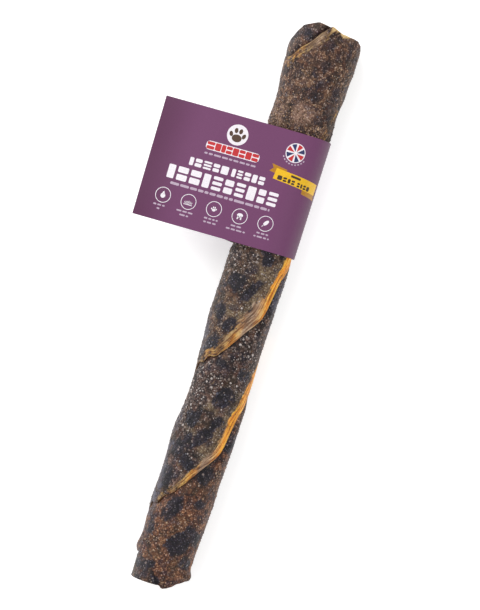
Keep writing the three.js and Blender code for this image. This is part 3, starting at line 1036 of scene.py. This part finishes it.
def draw_pictograms(white, lilac):
    """Five ringed marks in a row, each over two lines of small print."""
    marks = (draw_drop, draw_coat, draw_paw, draw_tooth, draw_leaf)
    upper_widths = (9.5, 12.5, 9.5, 8.0, 8.0)
    lower_widths = (3.5, 7.0, 9.0, 13.0, 10.5)
    for i, (mark, upper, lower) in enumerate(zip(marks, upper_widths, lower_widths)):
        u = 16.3 + i * 17.72
        white.ring(u, 64.1, 5.25, 0.42)
        mark(white, u, 64.0, 2.7)
        lilac.words(u, 71.1, upper, 1.05, 20 + i, 4)
        lilac.words(u, 73.6, lower, 1.05, 30 + i, 4)


def draw_roundel(white, lilac, red, navy):
    """Spokes in two colours on a white disc, with an arc of small bars round it."""
    u, v = 92.1, 13.7
    spokes = 8
    white.disc(u, v, 6.6, count=44)
    for i in range(spokes):
        first, last = TURN * (i + 0.14) / spokes, TURN * (i + 0.86) / spokes
        wedge = [around(u, v, 0.9, (first + last) / 2)]
        wedge += [around(u, v, 6.0, first + (last - first) * step / 6) for step in range(7)]
        (red, navy)[i % 2].polygon(wedge)
    for i in range(9):
        angle = math.radians(150 - 15 * i)
        lilac.block(*around(u, v, 8.0, angle), 1.2, 0.9, 0.3, math.degrees(angle) + 90)


def draw_ribbon(gold, yellow, dark):
    """A leaning band with a folded tail at each end, and marks for its words."""
    gold.polygon([(79.4, 24.2), (90.4, 25.9), (89.8, 28.6), (86.0, 30.5), (79.0, 29.4), (81.1, 26.8)])
    gold.polygon([(104.2, 35.0), (117.0, 36.2), (120.0, 40.6), (104.4, 38.7)])
    yellow.polygon([(83.3, 26.4), (118.5, 29.7), (118.5, 37.2), (82.7, 33.8)])
    lean = 5.4
    rise = math.tan(math.radians(lean))
    dark.block(97.4, 29.4, 7.2, 1.5, 0.5, lean)
    row_of_marks(dark, 85.4, 97.6, 32.0, 3.0, ((1, 1.2), (2, 1.0), (1, 0.7), (2, 0.9)), 0.7, rise)
    row_of_marks(dark, 99.4, 110.0, 33.4, 3.0, ((2, 0.8), (1, 0.5), (2, 0.9), (1, 1.0)), 0.7, rise)


def build_prints():
    """All the label's print, as one object for each ink. Higher layers cover lower ones."""
    layers = {
        "lilac": 0, "white": 1, "red": 2, "navy": 2, "brown": 2, "gold": 0, "yellow": 1, "dark": 2,
    }
    inks = {colour: Print("print_" + colour, layer) for colour, layer in layers.items()}
    lilac, white, red, navy, brown, gold, yellow, dark = inks.values()
    draw_emblem(white, brown)
    draw_display_lines(white, lilac, red)
    draw_pictograms(white, lilac)
    draw_roundel(white, lilac, red, navy)
    draw_ribbon(gold, yellow, dark)
    return [ink.build() for ink in inks.values()]


# -------------------------------------------------------------------------- materials

GAIN = 0.74  # the floor is lit past white, so the object's own colours are held down


def srgb(r, g, b, gain=GAIN):
    """Linear colour of an sRGB colour given in 0..255."""
    def linear(c):
        c = c / 255
        return c / 12.92 if c <= 0.04045 else ((c + 0.055) / 1.055) ** 2.4
    return (linear(r) * gain, linear(g) * gain, linear(b) * gain, 1.0)


def factor(r, g, b):
    """A linear colour to multiply with or to add."""
    return (r, g, b, 1.0)


def grey(level):
    return factor(level, level, level)


class Nodes:
    """Short forms for building a node material."""

    def __init__(self, name):
        self.material = bpy.data.materials.new(name)
        self.material.use_nodes = True
        self.tree = self.material.node_tree
        self.shader = self.tree.nodes["Principled BSDF"]
        self.coordinates = self.new("ShaderNodeTexCoord").outputs["Object"]

    def new(self, kind, **settings):
        node = self.tree.nodes.new(kind)
        for key, value in settings.items():
            setattr(node, key, value)
        return node

    def put(self, socket, value):
        if isinstance(value, bpy.types.NodeSocket):
            self.tree.links.new(value, socket)
        else:
            socket.default_value = value

    def put_all(self, node, **values):
        """Set or link inputs by name, with _ for a space."""
        for name, value in values.items():
            self.put(node.inputs[name.replace("_", " ")], value)

    def noise(self, size, detail=3.0, rough=0.55, stretch=(1, 1, 1), place=None):
        """Noise with features about `size` across, 0..1, by default in object space."""
        mapping = self.new("ShaderNodeMapping")
        self.put_all(mapping, Vector=self.coordinates if place is None else place, Scale=stretch)
        texture = self.new("ShaderNodeTexNoise")
        self.put_all(
            texture, Vector=mapping.outputs[0], Scale=1 / size, Detail=detail, Roughness=rough
        )
        return texture.outputs["Fac"]

    def clouds(self, size, detail, rough=0.55):
        """Noise with its contrast raised to fill 0..1."""
        return self.step(self.noise(size, detail, rough), 0.3, 0.7)

    def cells(self, size):
        """Irregular cells about `size` across: distance from each one's middle, and two
        random values of its own."""
        texture = self.new("ShaderNodeTexVoronoi")
        self.put_all(texture, Vector=self.coordinates, Scale=1 / size)
        split = self.new("ShaderNodeSeparateColor")
        self.put(split.inputs[0], texture.outputs["Color"])
        return texture.outputs["Distance"], split.outputs[0], split.outputs[1]

    def attribute(self, name):
        return self.new("ShaderNodeAttribute", attribute_name=name).outputs["Fac"]

    def math(self, operation, *values):
        node = self.new("ShaderNodeMath", operation=operation)
        for socket, value in zip(node.inputs, values):
            self.put(socket, value)
        return node.outputs[0]

    def times(self, a, b):
        return self.math("MULTIPLY", a, b)

    def line(self, value, slope, offset):
        """value * slope + offset."""
        return self.math("MULTIPLY_ADD", value, slope, offset)

    def step(self, value, low, high):
        """0 below low, 1 above high, eased between."""
        node = self.new("ShaderNodeMapRange", interpolation_type="SMOOTHSTEP")
        self.put_all(node, Value=value, From_Min=low, From_Max=high)
        return node.outputs["Result"]

    def mix(self, amount, a, b, blend="MIX"):
        node = self.new("ShaderNodeMix", data_type="RGBA", blend_type=blend)
        self.put(node.inputs["Factor"], amount)
        self.put(node.inputs[6], a)
        self.put(node.inputs[7], b)
        return node.outputs[2]

    def shades(self, value, *stops):
        """A ramp of sRGB colours; each stop is position, r, g, b and, if not GAIN, a gain."""
        return self.ramp(value, *[(position, srgb(*colour)) for position, *colour in stops])

    def ramp(self, value, *stops):
        node = self.new("ShaderNodeValToRGB")
        elements = node.color_ramp.elements
        while len(elements) < len(stops):
            elements.new(0.5)
        for element, (position, colour) in zip(elements, stops):
            element.position = position
            element.color = colour
        self.put(node.inputs[0], value)
        return node.outputs[0]

    def bump(self, height, distance, strength=1.0, normal=None):
        node = self.new("ShaderNodeBump")
        self.put_all(node, Height=height, Distance=distance, Strength=strength)
        if normal is not None:
            self.put_all(node, Normal=normal)
        return node.outputs[0]

    def finish(self, colour, rough, **extra):
        self.put_all(self.shader, Base_Color=colour, Roughness=rough, **extra)
        return self.material


class SkinNodes(Nodes):
    """Dried fish skin: soft mottling, marks and bare flesh under a grain of small scales, with warm
    dark shade painted into their pits, cool bright light painted onto their crests, and pale dots."""

    def __init__(self, name):
        super().__init__(name)
        self.scale_gap, self.scale_tone, _ = self.cells(1.35 * MM)
        self.mottling = self.clouds(5.5 * MM, 3.0, 0.62)
        self.patches = self.clouds(2.6 * MM, 1.0, 0.6)
        self.fine = self.clouds(0.9 * MM, 2.0, 0.6)
        self.level = self.line(self.mottling, 0.6, self.times(self.patches, 0.4))
        self.place = self.line(self.noise(14 * MM, 2.0), 30 * MM, self.attribute("place"))
        self.blotch = self.step(self.line(self.patches, 0.5, self.attribute("blotch")), 0.4, 1.05)
        # where a painted reflection lies on the flanks
        self.painted_sheen = self.times(self.attribute("painted_sheen"), self.step(self.level, 0.0, 0.5))
        fullness = self.line(self.step(self.level, 0.15, 0.6), 0.6, 0.4)
        self.pale = self.times(self.attribute("pale"), fullness)

    def ground(self, narrow_tones, change, wide_tones):
        """Ground colour: (dark, middle, light) tones on either side of y = change."""
        narrow, wide = [
            self.ramp(self.level, (0.2, dark), (0.5, middle), (0.8, light))
            for dark, middle, light in (narrow_tones, wide_tones)
        ]
        colour = self.mix(self.step(self.place, change + 5 * MM, change + 25 * MM), narrow, wide)
        warm = self.step(self.noise(6 * MM, 1.5), 0.5, 0.7)
        colour = self.mix(self.times(warm, 0.45), colour, srgb(142, 86, 56))
        olive = self.step(self.noise(9 * MM, 1.5, stretch=(1, 0.7, 1)), 0.5, 0.62)
        return self.mix(self.times(olive, 0.32), colour, srgb(120, 97, 66))

    def marked(self, colour):
        """Pale stains, bluish clouds, dark blotches, and a grey sheen: a reflection painted into
        the flanks' colour.
        """
        towards_end = self.step(self.place, 100 * MM, 120 * MM)
        stain = self.mix(towards_end, srgb(156, 136, 106), srgb(204, 166, 144))
        colour = self.mix(self.times(self.pale, 0.8), colour, stain)
        bluish = self.times(self.step(self.noise(7 * MM, 1.5, 0.6), 0.52, 0.64), 0.5)
        colour = self.mix(bluish, colour, srgb(60, 52, 76))
        strength = self.line(self.step(self.place, 115 * MM, 130 * MM), -0.4, 0.95)
        dark = self.shades(self.level, (0.2, 24, 21, 38), (0.5, 41, 37, 55), (0.8, 67, 61, 77))
        colour = self.mix(self.times(self.blotch, strength), colour, dark)
        # painted reflection: a blue-grey sheen mixed into the flanks' colour
        return self.mix(self.times(self.painted_sheen, 0.85), colour, srgb(104, 103, 120))

    def grained(self, colour, crown):
        """Fine grain with shade painted into its pits and light onto its crests, shade painted between
        the scales and light onto their crowns, and scales of which some have a pale crown of their own.
        """
        smoother = self.math("MINIMUM", self.line(self.pale, 0.5, self.painted_sheen), 1.0)
        strength = self.line(smoother, -0.6, 0.95)
        # the fine grain's own tone, painted darker and warmer in its pits as shade and lighter and
        # cooler on its crests as light
        painted_grain_shading = self.ramp(
            self.fine,
            (0.0, factor(0.46, 0.36, 0.31)), (0.5, grey(0.93)), (1.0, factor(1.6, 1.74, 1.84)),
        )
        colour = self.mix(strength, colour, painted_grain_shading, "MULTIPLY")
        # painted shading: dark shade between the scales and light on their crowns
        painted_scale_shading = self.ramp(
            crown,
            (0.0, factor(0.43, 0.34, 0.3)), (0.5, grey(0.9)), (1.0, factor(1.18, 1.26, 1.3)),
        )
        colour = self.mix(strength, colour, painted_scale_shading, "MULTIPLY")
        speck = self.times(self.step(self.scale_gap, 0.5, 0.1), self.step(self.scale_tone, 0.35, 1.0))
        speck = self.times(speck, self.line(self.blotch, -0.5, 1.0))
        return self.mix(self.times(speck, strength), colour, factor(0.24, 0.215, 0.2), "ADD")

    def dotted(self, colour):
        """Pale dots that take after the colour round them, and where they are."""
        shadowed = self.line(self.attribute("dotted"), -0.26, 1.0)
        colour = self.mix(1.0, colour, shadowed, "MULTIPLY")
        gap, tone, size = self.cells(2.6 * MM)
        chance = self.line(self.attribute("dotted"), 0.42, 0.1)
        radius = self.line(size, 0.2, 0.14)
        dot = self.step(gap, self.times(radius, 1.3), self.times(radius, 0.7))
        dot = self.times(dot, self.math("LESS_THAN", tone, chance))
        lighter = self.mix(1.0, colour, factor(2.9, 2.8, 2.7), "MULTIPLY")
        pearl = self.mix(0.55, lighter, srgb(190, 170, 160))
        return self.mix(self.times(dot, 0.9), colour, pearl), dot

    def bare_flesh(self):
        """Flesh colour, fibrous along the seam, and how far it shows."""
        along = self.new("ShaderNodeCombineXYZ")
        self.put(along.inputs[0], self.times(self.attribute("seam_gap"), 1 / (1.1 * MM)))
        self.put(along.inputs[1], self.times(self.attribute("seam_run"), 1 / (7 * MM)))
        fibre = self.step(self.noise(1.0, 3.0, 0.6, place=along.outputs[0]), 0.3, 0.7)
        olive = self.shades(fibre, (0.1, 84, 62, 40), (0.5, 122, 98, 66), (0.9, 172, 146, 108))
        cream = self.shades(fibre, (0.1, 108, 84, 68), (0.5, 166, 136, 114), (0.9, 220, 190, 166))
        amber = self.shades(fibre, (0.05, 186, 106, 28), (0.4, 244, 148, 28, 1), (0.9, 255, 202, 82, 1))
        dull = self.mix(self.attribute("pale"), olive, cream)
        colour = self.mix(self.attribute("orange"), dull, amber)
        colour = self.mix(self.attribute("cream"), colour, srgb(226, 196, 140, 1))
        browned = self.times(self.step(self.mottling, 0.45, 0.05), 0.35)
        colour = self.mix(browned, colour, srgb(132, 76, 28))
        streaks = self.line(fibre, 0.35, self.times(self.level, 0.5))
        return colour, self.step(self.math("ADD", self.attribute("flesh"), streaks), 0.6, 1.25)


def skin_material(name, narrow_tones, change, wide_tones):
    n = SkinNodes(name)
    crown = n.step(n.scale_gap, 0.6, 0.08)
    colour = n.grained(n.marked(n.ground(narrow_tones, change, wide_tones)), crown)
    colour, dot = n.dotted(colour)
    # painted shade: near-black in the hollow under a covering skin's edge
    colour = n.mix(n.times(n.attribute("painted_hollow_shade"), 0.85), colour, srgb(26, 18, 16))
    flesh_colour, flesh = n.bare_flesh()
    colour = n.mix(flesh, colour, flesh_colour)
    bump = n.bump(crown, 0.35 * MM, 0.8)
    bump = n.bump(dot, 0.35 * MM, 0.7, bump)
    bump = n.bump(n.fine, 0.3 * MM, 0.6, bump)
    rough = n.line(flesh, -0.12, n.line(n.fine, 0.2, 0.38))
    return n.finish(colour, rough, Normal=bump, Specular_IOR_Level=0.3)


def granule_material(name):
    """Small scales: brownish white or tan, bluish where they stand on a dark blotch."""
    n = Nodes(name)
    tint = n.attribute("tint")
    white = n.shades(tint, (0.0, 92, 74, 66), (0.5, 146, 124, 116), (1.0, 236, 222, 216))
    tan = n.shades(tint, (0.0, 98, 72, 56), (0.5, 148, 112, 86), (1.0, 216, 178, 144))
    cool = n.shades(tint, (0.0, 70, 68, 82), (0.6, 118, 116, 130), (1.0, 172, 170, 180))
    warm = n.mix(n.attribute("tan"), white, tan)
    colour = n.mix(n.step(n.attribute("blotch"), 0.2, 0.6), warm, cool)
    mottle = n.clouds(0.8 * MM, 2.0)
    shade = n.ramp(mottle, (0.0, grey(0.6)), (1.0, grey(1.15)))
    colour = n.mix(0.7, colour, shade, "MULTIPLY")
    bump = n.bump(mottle, 0.15 * MM, 0.4)
    return n.finish(colour, 0.4, Normal=bump, Specular_IOR_Level=0.4)


def flesh_material(name):
    """Flesh side of a rolled skin: amber, fibrous along the stick."""
    n = Nodes(name)
    fibre = n.noise(1.6 * MM, 4.0, 0.6, (1, 0.25, 1))
    colour = n.shades(fibre, (0.3, 122, 74, 38), (0.55, 182, 118, 54), (0.75, 220, 160, 84))
    colour = n.mix(n.step(n.noise(8 * MM, 3.0), 0.5, 0.65), colour, srgb(92, 58, 40))
    return n.finish(colour, 0.5, Normal=n.bump(fibre, 0.4 * MM, 0.6))


def paper_material(name):
    """Printed purple, with painted shade darkening it towards the free edge and over the bend;
    white where cut.
    """
    n = Nodes(name)
    fibre = n.noise(0.7 * MM, 2.0, 0.6)
    along = n.attribute("along")
    # painted shade: darker purple towards the curled free edge and where the paper turns round the
    # stick
    painted_shade_purple = srgb(106, 54, 92)
    colour = n.mix(n.step(along, 0.0, 30 * MM), painted_shade_purple, srgb(129, 74, 117))
    colour = n.mix(n.step(along, 104 * MM, 122 * MM), colour, painted_shade_purple)
    tone = n.ramp(fibre, (0.4, grey(0.9)), (0.6, grey(1.08)))
    colour = n.mix(0.3, colour, tone, "MULTIPLY")
    bare = n.step(n.attribute("bare"), 0.4, 0.6)
    colour = n.mix(bare, colour, srgb(232, 226, 226))
    rough = n.line(bare, 0.35, 0.45)
    bump = n.bump(fibre, 0.02 * MM, 0.25)
    return n.finish(colour, rough, Normal=bump, Specular_IOR_Level=0.3)


def ink_material(name, colour):
    n = Nodes(name)
    fibre = n.noise(0.8 * MM, 2.0, 0.6)
    tone = n.ramp(fibre, (0.35, grey(0.9)), (0.65, grey(1.04)))
    colour = n.mix(1.0, colour, tone, "MULTIPLY")
    return n.finish(colour, 0.42, Normal=n.bump(fibre, 0.02 * MM, 0.2))


def adhesive_material(name):
    n = Nodes(name)
    cloud = n.noise(3 * MM, 2.0)
    colour = n.shades(cloud, (0.4, 214, 208, 192), (0.6, 232, 226, 214))
    return n.finish(colour, 0.35, Normal=n.bump(cloud, 0.05 * MM, 0.3))


def floor_material(name):
    """A pale table top, lit a little from within like a photographer's."""
    n = Nodes(name)
    colour = n.ramp(n.noise(120 * MM, 2.0), (0.3, grey(0.86)), (0.7, grey(0.88)))
    return n.finish(colour, 0.9, Emission_Color=grey(1.0), Emission_Strength=0.5)


# ------------------------------------------------------------------------ the assembly

def dress(obj, material, slot, *replaced):
    """Give a piece its material and hide the CAD solids it stands for; the slot is not used."""
    if replaced:
        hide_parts(*replaced)
    obj.data.materials.append(material)


def add_to_stick(obj, material, slot, *replaced):
    dress(obj, material, slot, *replaced)
    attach(obj, "stick")


def build_stick():
    red_brown = (srgb(66, 39, 31), srgb(130, 86, 64), srgb(192, 136, 98))
    olive_grey = (srgb(46, 35, 34), srgb(98, 78, 68), srgb(170, 140, 114))
    blackish = (srgb(38, 28, 31), srgb(84, 65, 62), srgb(152, 122, 110))
    brown = (srgb(62, 42, 36), srgb(114, 85, 70), srgb(174, 136, 108))
    dark_brown = (srgb(32, 24, 26), srgb(68, 49, 44), srgb(122, 86, 64))
    grey_brown = (srgb(44, 34, 40), srgb(96, 74, 68), srgb(164, 130, 108))
    material_a = skin_material("skin_a", red_brown, -70 * MM, olive_grey)
    material_b = skin_material("skin_b", blackish, 60 * MM, brown)
    material_under = skin_material("under_skin", dark_brown, 60 * MM, grey_brown)
    add_to_stick(SKIN_A.build("skin_a"), material_a, "outer_skin_a", "outer_skin_a")
    add_to_stick(SKIN_B.build("skin_b"), material_b, "outer_skin_b", "outer_skin_b")
    add_to_stick(build_under_wrap("under_skin"), material_under, "under_wrap", "under_wrap")

    material_flesh = flesh_material("flesh_side")
    ends = (CORE_START - 2 * MM, CORE_STOP + 3 * MM)
    middle = build_rolled_skin("rolled_middle", 0.62, 2.0, 0.1, ends, 5)
    core = build_rolled_skin("rolled_core", 0.31, 1.75, 0.45, (CORE_START, CORE_STOP), 6)
    add_to_stick(middle, material_flesh, "flesh_side", "middle_roll")
    add_to_stick(core, material_flesh, "flesh_side", "core_roll")

    material_scales = granule_material("granules")
    scales_a = build_granules("granules_a", SKIN_A, 2.1 * MM, 101)
    scales_b = build_granules("granules_b", SKIN_B, 2.0 * MM, 202)
    add_to_stick(scales_a, material_scales, "outer_skin_a")
    add_to_stick(scales_b, material_scales, "outer_skin_b")


def bend_with_flag(obj):
    """Bakes the piece's placement into its mesh."""
    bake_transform(obj)


def build_label():
    paper = build_paper("label_paper")
    solids = ("label_band", "label_front_leaf", "label_back_leaf")
    dress(paper, paper_material("label_paper"), "label_paper", *solids)
    bend_with_flag(paper)
    glue = build_adhesive("label_glue")
    dress(glue, adhesive_material("label_glue"), "label_adhesive", "label_adhesive")
    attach(glue, "label_flag")
    ink_colours = {
        "print_lilac": srgb(214, 190, 212),
        "print_white": srgb(252, 246, 252, 0.9),
        "print_red": srgb(222, 44, 52),
        "print_navy": srgb(42, 52, 108),
        "print_brown": srgb(92, 62, 44),
        "print_gold": srgb(206, 142, 8),
        "print_yellow": srgb(255, 200, 4, 0.86),
        "print_dark": srgb(72, 48, 22),
    }
    for obj in build_prints():
        dress(obj, ink_material(obj.name, ink_colours[obj.name]), "label_paper")
        bend_with_flag(obj)


# ------------------------------------------------------------------ floor, light, camera

STICK_TILT = math.radians(17.6)  # how far the stick leans to the right in the picture


def build_floor():
    half = 3.0
    z = TABLE_Z - 0.05 * MM
    points = [(-half, -half, z), (half, -half, z), (half, half, z), (-half, half, z)]
    floor = mesh_object("floor", points, [(0, 1, 2, 3)])
    floor.data.materials.append(floor_material("floor"))


def area_light(name, place, target, size, power):
    """An area light at a place, aimed at a target; sizes in metres, power in watts."""
    data = bpy.data.lights.new(name, "AREA")
    data.shape = "RECTANGLE"
    data.size, data.size_y = size
    data.energy = power
    light = bpy.data.objects.new(name, data)
    light.location = place
    direction = Vector(target) - Vector(place)
    light.rotation_euler = direction.to_track_quat("-Z", "Y").to_euler()
    bpy.context.scene.collection.objects.link(light)


def build_light():
    """A key light from the upper left, a weaker fill from the right, and a low one from the
    left, in front of a white backdrop."""
    area_light("key", (-0.75, 0.65, 1.15), (0, 0, 0), (1.0, 1.0), 13)
    area_light("fill", (0.9, -0.5, 1.2), (0, 0, 0), (1.2, 1.2), 6.5)
    area_light("side", (-1.1, -0.3, 0.35), (0, 0, 0.02), (0.7, 0.5), 2.2)
    world = bpy.data.worlds.new("studio")
    world.use_nodes = True
    background = world.node_tree.nodes["Background"]
    background.inputs["Color"].default_value = (1, 1, 1, 1)
    seen = world.node_tree.nodes.new("ShaderNodeLightPath").outputs["Is Camera Ray"]
    strength = world.node_tree.nodes.new("ShaderNodeMapRange")
    strength.inputs["To Min"].default_value = 0.5
    strength.inputs["To Max"].default_value = 1.1  # a white backdrop behind the table
    world.node_tree.links.new(seen, strength.inputs["Value"])
    world.node_tree.links.new(strength.outputs["Result"], background.inputs["Strength"])
    bpy.context.scene.world = world


def build_camera():
    """Looks straight down from far away, turned so that the stick leans right."""
    distance = 1.8
    picture_height = 408.7 * MM  # at the height of the stick's axis
    centre = Vector((-2.2 * MM, -0.3 * MM, AXIS_Z))
    data = bpy.data.cameras.new("camera")
    data.sensor_fit = "AUTO"
    data.sensor_width = 36
    data.lens = data.sensor_width * distance / picture_height
    data.clip_end = 10
    camera = bpy.data.objects.new("camera", data)
    camera.location = centre + Vector((0, 0, distance))
    camera.rotation_euler = (0, 0, STICK_TILT)
    bpy.context.scene.collection.objects.link(camera)
    bpy.context.scene.camera = camera
    bpy.context.scene.view_settings.view_transform = "Standard"


build_stick()
build_label()
build_floor()
build_light()
build_camera()
